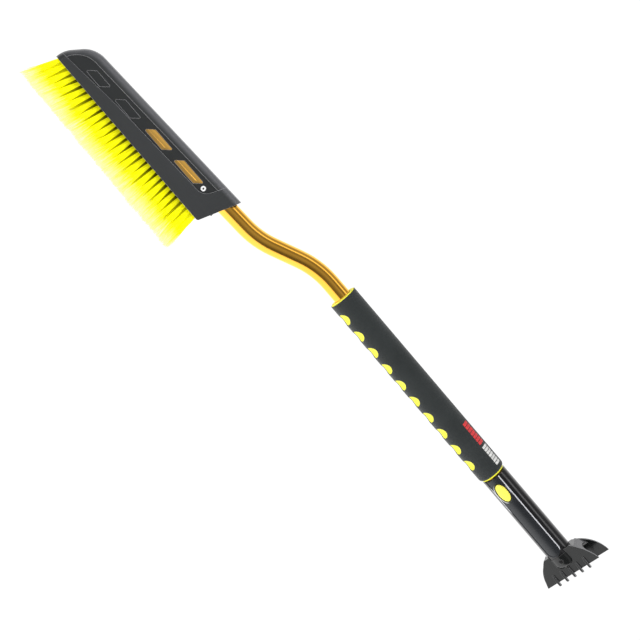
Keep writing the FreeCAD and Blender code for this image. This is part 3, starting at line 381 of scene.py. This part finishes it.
# ---------- foam grip ----------

def foam_piece(name, node, material, voxel):
    """A foam layer remeshed from its plain solid, with softened edges and scallops."""
    piece = bpy.data.objects.new(name, nodes[node].data.copy())
    bpy.context.scene.collection.objects.link(piece)
    piece.data.materials.clear()
    piece.data.materials.append(material)
    remesh = piece.modifiers.new("remesh", "REMESH")
    remesh.mode = "VOXEL"
    remesh.voxel_size = voxel
    smooth = piece.modifiers.new("smooth", "SMOOTH")
    smooth.factor = 0.5
    smooth.iterations = 4
    graph = bpy.context.evaluated_depsgraph_get()
    final = bpy.data.meshes.new_from_object(piece.evaluated_get(graph))
    piece.modifiers.clear()
    piece.data = final
    for polygon in final.polygons:
        polygon.use_smooth = True
        polygon.material_index = 0
    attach(piece, "handle")
    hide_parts(node)
    return piece


foam_outer = foam_piece("foam_outer", "grip_outer_foam", MATERIALS["black_foam"], 0.42 * MM)
foam_inner = foam_piece("foam_inner", "grip_inner_foam", MATERIALS["yellow_foam"], 0.75 * MM)


# ---------- printed bars on the foam ----------

PRINT_RADIUS = 17.86 * MM
PRINT_THICK = 0.12 * MM
PRINT_LOW = 34
PRINT_HIGH = 64
PRINT_BLOCKS = 7
PRINT_GAP = 0.7 * MM


def printed_blocks(name, start, end, material):
    """A row of plain blocks printed on the grip, from start to end along it."""
    across = 20
    along = 6
    pitch = (end - start + PRINT_GAP) / PRINT_BLOCKS
    points = []
    faces = []
    for block in range(PRINT_BLOCKS):
        first_point = len(points)
        left = start + block * pitch
        for i in range(along + 1):
            for j in range(across + 1):
                turn = math.radians(PRINT_LOW + (PRINT_HIGH - PRINT_LOW) * j / across)
                x = left + (pitch - PRINT_GAP) * i / along
                points.append((x, -PRINT_RADIUS * math.cos(turn), PRINT_RADIUS * math.sin(turn)))
        row = across + 1
        for i in range(along):
            for j in range(across):
                corner = first_point + i * row + j
                faces.append((corner, corner + row, corner + row + 1, corner + 1))
    mesh = bpy.data.meshes.new(name)
    mesh.from_pydata(points, [], faces)
    mesh.materials.append(material)
    mesh.polygons.foreach_set("use_smooth", [True] * len(mesh.polygons))
    piece = bpy.data.objects.new(name, mesh)
    bpy.context.scene.collection.objects.link(piece)
    solid = piece.modifiers.new("thickness", "SOLIDIFY")
    solid.thickness = PRINT_THICK
    solid.offset = 0
    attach(piece, "handle")
    return piece


printed_blocks("printed_bar_red", 67 * MM, 100 * MM, MATERIALS["red_ink"])
printed_blocks("printed_bar_white", 103.6 * MM, 131.5 * MM, MATERIALS["white_ink"])


# ---------- bristles ----------

TUFTS = 28
FILAMENTS = 72
FIRST_ROOT_X = -558.8 * MM
LAST_ROOT_X = -325.6 * MM
FIRST_LEAN = math.radians(-16.5)
LAST_LEAN = math.radians(4.5)
FIRST_FREE = 46.0 * MM
LAST_FREE = 51.5 * MM
ROWS = {
    "bristle_row_front": -1,
    "bristle_row_middle": 0,
    "bristle_row_rear": 1,
}
ROW_GAP = 9.4 * MM
ROW_SPLAY = math.radians(6)
ROOT_SPREAD = 2.0 * MM
COLLAR_SPREAD = 2.75 * MM
TIP_SPREAD = 4.7 * MM
SPLIT_FIRST = 0.46
SPLIT_LAST = 0.74
MAIN_SIDES = 4
HAIR_SIDES = 3
HAIRS = 3
SHADED_FROM_END = 3.0


class StrandMesh:
    """Collects thin tapered strands and turns them into one mesh."""

    def __init__(self):
        self.points = []
        self.faces = []
        self.along = []
        self.tone = []
        self.root_shadow_share = []

    def strand(self, line, radii, shares, tone, root_shadow_share, sides, turn):
        start = len(self.points)
        direction = (line[-1] - line[0]).normalized()
        side = direction.orthogonal().normalized()
        other = direction.cross(side)
        ring = []
        for k in range(sides):
            angle = turn + 2 * math.pi * k / sides
            ring.append(side * math.cos(angle) + other * math.sin(angle))
        for middle, radius, share in zip(line, radii, shares):
            for spoke in ring:
                self.points.append(middle + spoke * radius)
                self.along.append(share)
                self.tone.append(tone)
                self.root_shadow_share.append(root_shadow_share)
        for level in range(len(line) - 1):
            low = start + level * sides
            for k in range(sides):
                after = (k + 1) % sides
                self.faces.append((low + k, low + after, low + sides + after, low + sides + k))
        last = start + (len(line) - 1) * sides
        self.faces.append(tuple(last + k for k in range(sides)))
        self.faces.append(tuple(start + k for k in reversed(range(sides))))

    def build(self, name, material):
        mesh = bpy.data.meshes.new(name)
        mesh.from_pydata([tuple(p) for p in self.points], [], self.faces)
        mesh.materials.append(material)
        for label, values in (("along", self.along), ("own_tone", self.tone),
                              ("root_shadow_share", self.root_shadow_share)):
            attribute = mesh.attributes.new(label, "FLOAT", "POINT")
            attribute.data.foreach_set("value", values)
        mesh.polygons.foreach_set("use_smooth", [True] * len(mesh.polygons))
        piece = bpy.data.objects.new(name, mesh)
        bpy.context.scene.collection.objects.link(piece)
        return piece


def disc_point(draw, spread):
    """A random place in a disc."""
    angle = draw.uniform(0, 2 * math.pi)
    reach = spread * math.sqrt(draw.random())
    return reach * math.cos(angle), reach * math.sin(angle)


def tuft_spread(t):
    """Tuft radius along its free length: it opens quickly out of its hole, then slowly."""
    t = max(t, 0)
    opened = COLLAR_SPREAD - (COLLAR_SPREAD - ROOT_SPREAD) * math.exp(-t / 0.06)
    return opened + (TIP_SPREAD - COLLAR_SPREAD) * t ** 1.2


def bristle_row(node, row, base_z, draw):
    """Tufts of thin filaments; the middle row stands half a gap along."""
    strands = StrandMesh()
    gaps = TUFTS - 1
    splay = math.tan(row * ROW_SPLAY)
    for place_along in ([i + 0.5 for i in range(gaps)] if row == 0 else range(TUFTS)):
        share = place_along / gaps
        root_x = FIRST_ROOT_X + share * (LAST_ROOT_X - FIRST_ROOT_X)
        lean = math.tan(FIRST_LEAN + share * (LAST_LEAN - FIRST_LEAN))
        # Tufts near the ends of a row get less painted root shadow.
        from_end = min(place_along, gaps - place_along)
        root_shadow_share = max(0.15, min(1.0, from_end / SHADED_FROM_END))
        tuft_lean = lean + draw.uniform(-0.045, 0.045)
        tuft_length = (FIRST_FREE + share * (LAST_FREE - FIRST_FREE)) * draw.uniform(0.965, 1.0)
        for _ in range(FILAMENTS):
            du, dv = disc_point(draw, 1.0)
            length = tuft_length * draw.uniform(0.90, 1.0)
            curl_x = draw.gauss(0, 1.3) * MM
            curl_y = draw.gauss(0, 1.1) * MM
            tone = draw.random()

            def place(t):
                spread = tuft_spread(t)
                drop = t * length
                x = root_x + tuft_lean * drop + du * spread + curl_x * t * t
                y = row * ROW_GAP + splay * drop + dv * spread * 0.9 + curl_y * t * t
                return Vector((x, y, base_z - drop))

            split_at = draw.uniform(SPLIT_FIRST, SPLIT_LAST)
            shares = (-0.06, 0.06, 0.16, 0.34, split_at)
            strands.strand([place(t) for t in shares], [0.30 * MM] * 5, shares, tone,
                           root_shadow_share, MAIN_SIDES, draw.uniform(0, 1.5))
            for _ in range(HAIRS):
                hx = draw.gauss(0, 0.8) * MM
                hy = draw.gauss(0, 0.8) * MM
                reach = draw.uniform(0.88, 1.0)
                hair_shares = [split_at + (reach - split_at) * k / 3 for k in range(4)]
                line = []
                for k, t in enumerate(hair_shares):
                    fan = (k / 3) ** 1.3
                    line.append(place(t) + Vector((hx * fan, hy * fan, 0)))
                radii = [0.19 * MM, 0.17 * MM, 0.14 * MM, 0.08 * MM]
                strands.strand(line, radii, hair_shares, tone, root_shadow_share, HAIR_SIDES,
                               draw.uniform(0, 2))
    material = MATERIALS["bristle_middle"] if row == 0 else MATERIALS["bristle_outer"]
    piece = strands.build(node.replace("bristle_row", "filaments"), material)
    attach(piece, "handle")
    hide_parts(node)
    return piece


base_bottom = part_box("brush_base")[0].z
for row_node, row_side in ROWS.items():
    bristle_row(row_node, row_side, base_bottom, random.Random(40 + row_side))


# ---------- floor, light and camera ----------

# Brightness of the drawn studio round a bar that lies along X, as (angle, brightness). The angle
# runs from the camera side (0) over the top (90) to behind the bar (180), and is negative below.
# Shiny pieces reflect this in place of the lamps, the floor and the world.
HANDLE_STUDIO = [
    (-180, 1.80), (-62, 1.80), (-44, 1.65), (-36, 0.18), (-20, 0.18), (0, 0.32), (20, 0.42),
    (42, 0.22), (52, 0.30), (58, 1.60), (65, 1.60), (72, 0.40), (100, 0.50), (124, 1.50),
    (180, 1.60),
]
SCRAPER_STUDIO = [
    (-180, 1.75), (-60, 1.75), (-46, 1.50), (-38, 0.12), (8, 0.12), (18, 0.60), (25, 0.60),
    (35, 0.12), (57, 0.16), (63, 2.80), (69, 2.80), (75, 0.22), (104, 0.35), (124, 1.20),
    (180, 1.40),
]
STUDIO_PEAK = 3.0


def studio_ramp(tree, share, stops):
    node = tree.nodes.new("ShaderNodeValToRGB")
    elements = node.color_ramp.elements
    while len(elements) > 1:
        elements.remove(elements[-1])
    for i, (angle, bright) in enumerate(stops):
        place = (angle + 180) / 360
        element = elements[0] if i == 0 else elements.new(place)
        element.position = place
        level = bright / STUDIO_PEAK
        element.color = (level, level, level, 1)
    tree.links.new(share, node.inputs[0])
    return node.outputs[0]


def studio_reflection(tree, direction):
    """What shiny pieces see of the studio in one direction."""
    def step(operation, first, second=None):
        node = tree.nodes.new("ShaderNodeMath")
        node.operation = operation
        for socket, value in ((0, first), (1, second)):
            if isinstance(value, bpy.types.NodeSocket):
                tree.links.new(value, node.inputs[socket])
            elif value is not None:
                node.inputs[socket].default_value = value
        return node.outputs[0]

    split = tree.nodes.new("ShaderNodeSeparateXYZ")
    tree.links.new(direction, split.inputs[0])
    front = step("MULTIPLY", split.outputs["Y"], -1.0)
    angle = step("ARCTAN2", split.outputs["Z"], front)
    share = step("ADD", step("DIVIDE", angle, 2 * math.pi), 0.5)
    side = tree.nodes.new("ShaderNodeMapRange")
    side.inputs["From Min"].default_value = 0.13
    side.inputs["From Max"].default_value = 0.22
    tree.links.new(split.outputs["X"], side.inputs["Value"])
    mix = tree.nodes.new("ShaderNodeMix")
    mix.data_type = "RGBA"
    tree.links.new(side.outputs[0], mix.inputs[0])
    tree.links.new(studio_ramp(tree, share, HANDLE_STUDIO), mix.inputs[6])
    tree.links.new(studio_ramp(tree, share, SCRAPER_STUDIO), mix.inputs[7])
    return mix.outputs[2]


def floor():
    """A pale floor. Shiny pieces see the drawn studio in its place."""
    mesh = bpy.data.meshes.new("floor")
    half = 14.0
    height = cad_box[0].z - 1.0 * MM
    plan = ((-half, -half), (half, -half), (half, half), (-half, half))
    corners = [(x, y, height) for x, y in plan]
    mesh.from_pydata(corners, [], [(0, 1, 2, 3)])
    material = bpy.data.materials.new("floor")
    material.use_nodes = True
    tree = material.node_tree
    tree.nodes.clear()
    glow = tree.nodes.new("ShaderNodeEmission")
    glow.inputs["Color"].default_value = (1, 1, 1, 1)
    glow.inputs["Strength"].default_value = 0.74
    matte = tree.nodes.new("ShaderNodeBsdfDiffuse")
    matte.inputs["Color"].default_value = (0.62, 0.62, 0.62, 1)
    plain = tree.nodes.new("ShaderNodeAddShader")
    tree.links.new(glow.outputs[0], plain.inputs[0])
    tree.links.new(matte.outputs[0], plain.inputs[1])
    geometry = tree.nodes.new("ShaderNodeNewGeometry")
    away = tree.nodes.new("ShaderNodeVectorMath")
    away.operation = "SCALE"
    away.inputs["Scale"].default_value = -1.0
    tree.links.new(geometry.outputs["Incoming"], away.inputs[0])
    mirrored = tree.nodes.new("ShaderNodeEmission")
    mirrored.inputs["Strength"].default_value = STUDIO_PEAK
    tree.links.new(studio_reflection(tree, away.outputs[0]), mirrored.inputs["Color"])
    path = tree.nodes.new("ShaderNodeLightPath")
    both = tree.nodes.new("ShaderNodeMixShader")
    tree.links.new(path.outputs["Is Glossy Ray"], both.inputs[0])
    tree.links.new(plain.outputs[0], both.inputs[1])
    tree.links.new(mirrored.outputs[0], both.inputs[2])
    output = tree.nodes.new("ShaderNodeOutputMaterial")
    tree.links.new(both.outputs[0], output.inputs["Surface"])
    mesh.materials.append(material)
    piece = bpy.data.objects.new("floor", mesh)
    bpy.context.scene.collection.objects.link(piece)


WORLD_LIGHT = 0.62


def world():
    """White to the camera, soft light from above for dull pieces, a studio for shiny ones."""
    scene_world = bpy.data.worlds.new("studio")
    bpy.context.scene.world = scene_world
    scene_world.use_nodes = True
    tree = scene_world.node_tree
    tree.nodes.clear()
    place = tree.nodes.new("ShaderNodeTexCoord")
    split = tree.nodes.new("ShaderNodeSeparateXYZ")
    tree.links.new(place.outputs["Generated"], split.inputs[0])
    ramp = tree.nodes.new("ShaderNodeValToRGB")
    ramp.color_ramp.elements[0].position = 0.0
    ramp.color_ramp.elements[0].color = (0.40, 0.40, 0.40, 1)
    ramp.color_ramp.elements[1].position = 0.8
    ramp.color_ramp.elements[1].color = (1.0, 1.0, 1.0, 1)
    tree.links.new(split.outputs["Z"], ramp.inputs[0])
    lit = tree.nodes.new("ShaderNodeBackground")
    tree.links.new(ramp.outputs[0], lit.inputs["Color"])
    lit.inputs["Strength"].default_value = WORLD_LIGHT
    mirrored = tree.nodes.new("ShaderNodeBackground")
    mirrored.inputs["Strength"].default_value = STUDIO_PEAK
    tree.links.new(studio_reflection(tree, place.outputs["Generated"]), mirrored.inputs["Color"])
    seen = tree.nodes.new("ShaderNodeBackground")
    seen.inputs["Color"].default_value = (1, 1, 1, 1)
    seen.inputs["Strength"].default_value = 1.05
    path = tree.nodes.new("ShaderNodeLightPath")
    shiny = tree.nodes.new("ShaderNodeMixShader")
    tree.links.new(path.outputs["Is Glossy Ray"], shiny.inputs[0])
    tree.links.new(lit.outputs[0], shiny.inputs[1])
    tree.links.new(mirrored.outputs[0], shiny.inputs[2])
    both = tree.nodes.new("ShaderNodeMixShader")
    tree.links.new(path.outputs["Is Camera Ray"], both.inputs[0])
    tree.links.new(shiny.outputs[0], both.inputs[1])
    tree.links.new(seen.outputs[0], both.inputs[2])
    output = tree.nodes.new("ShaderNodeOutputWorld")
    tree.links.new(both.outputs[0], output.inputs["Surface"])


CAMERA_AIM = Vector((-136.7 * MM, 0, -37.7 * MM))
CAMERA_AZIMUTH = -8.0
CAMERA_TURN = 49.42
CAMERA_DISTANCE = 2.0
CAMERA_LENS = 95.7


def soft_light(name, place, aim, long_side, short_side, power):
    data = bpy.data.lights.new(name, "AREA")
    data.shape = "RECTANGLE"
    data.size = long_side
    data.size_y = short_side
    data.energy = power
    lamp = bpy.data.objects.new(name, data)
    bpy.context.scene.collection.objects.link(lamp)
    lamp.location = place
    lamp.rotation_mode = "QUATERNION"
    lamp.rotation_quaternion = (Vector(aim) - Vector(place)).to_track_quat("-Z", "Y")
    lamp.visible_glossy = False


def camera():
    """The camera faces the tool, a little from the brush end, turned so the tool lies slantwise."""
    data = bpy.data.cameras.new("camera")
    data.sensor_width = 36
    data.lens = CAMERA_LENS
    eye = bpy.data.objects.new("camera", data)
    bpy.context.scene.collection.objects.link(eye)
    azimuth = math.radians(CAMERA_AZIMUTH)
    turn = math.radians(CAMERA_TURN)
    back = Vector((math.sin(azimuth), -math.cos(azimuth), 0))
    along = Vector((math.cos(azimuth), math.sin(azimuth), 0))
    up = Vector((0, 0, 1))
    right = along * math.cos(turn) + up * math.sin(turn)
    top = up * math.cos(turn) - along * math.sin(turn)
    place = CAMERA_AIM + back * CAMERA_DISTANCE
    eye.matrix_world = Matrix((
        (right.x, top.x, back.x, place.x),
        (right.y, top.y, back.y, place.y),
        (right.z, top.z, back.z, place.z),
        (0, 0, 0, 1),
    ))
    bpy.context.scene.camera = eye


floor()
world()
soft_light("key", (-0.5, -1.3, 1.5), (-0.1, 0, -0.03), 1.8, 0.5, 15)
soft_light("fill", (-0.9, -1.6, 0.1), (-0.2, 0, -0.05), 1.0, 0.8, 6)
soft_light("rear", (0.3, 1.4, 1.0), (-0.1, 0, 0), 1.6, 0.5, 8)
camera()
bpy.context.scene.view_settings.view_transform = "Standard"
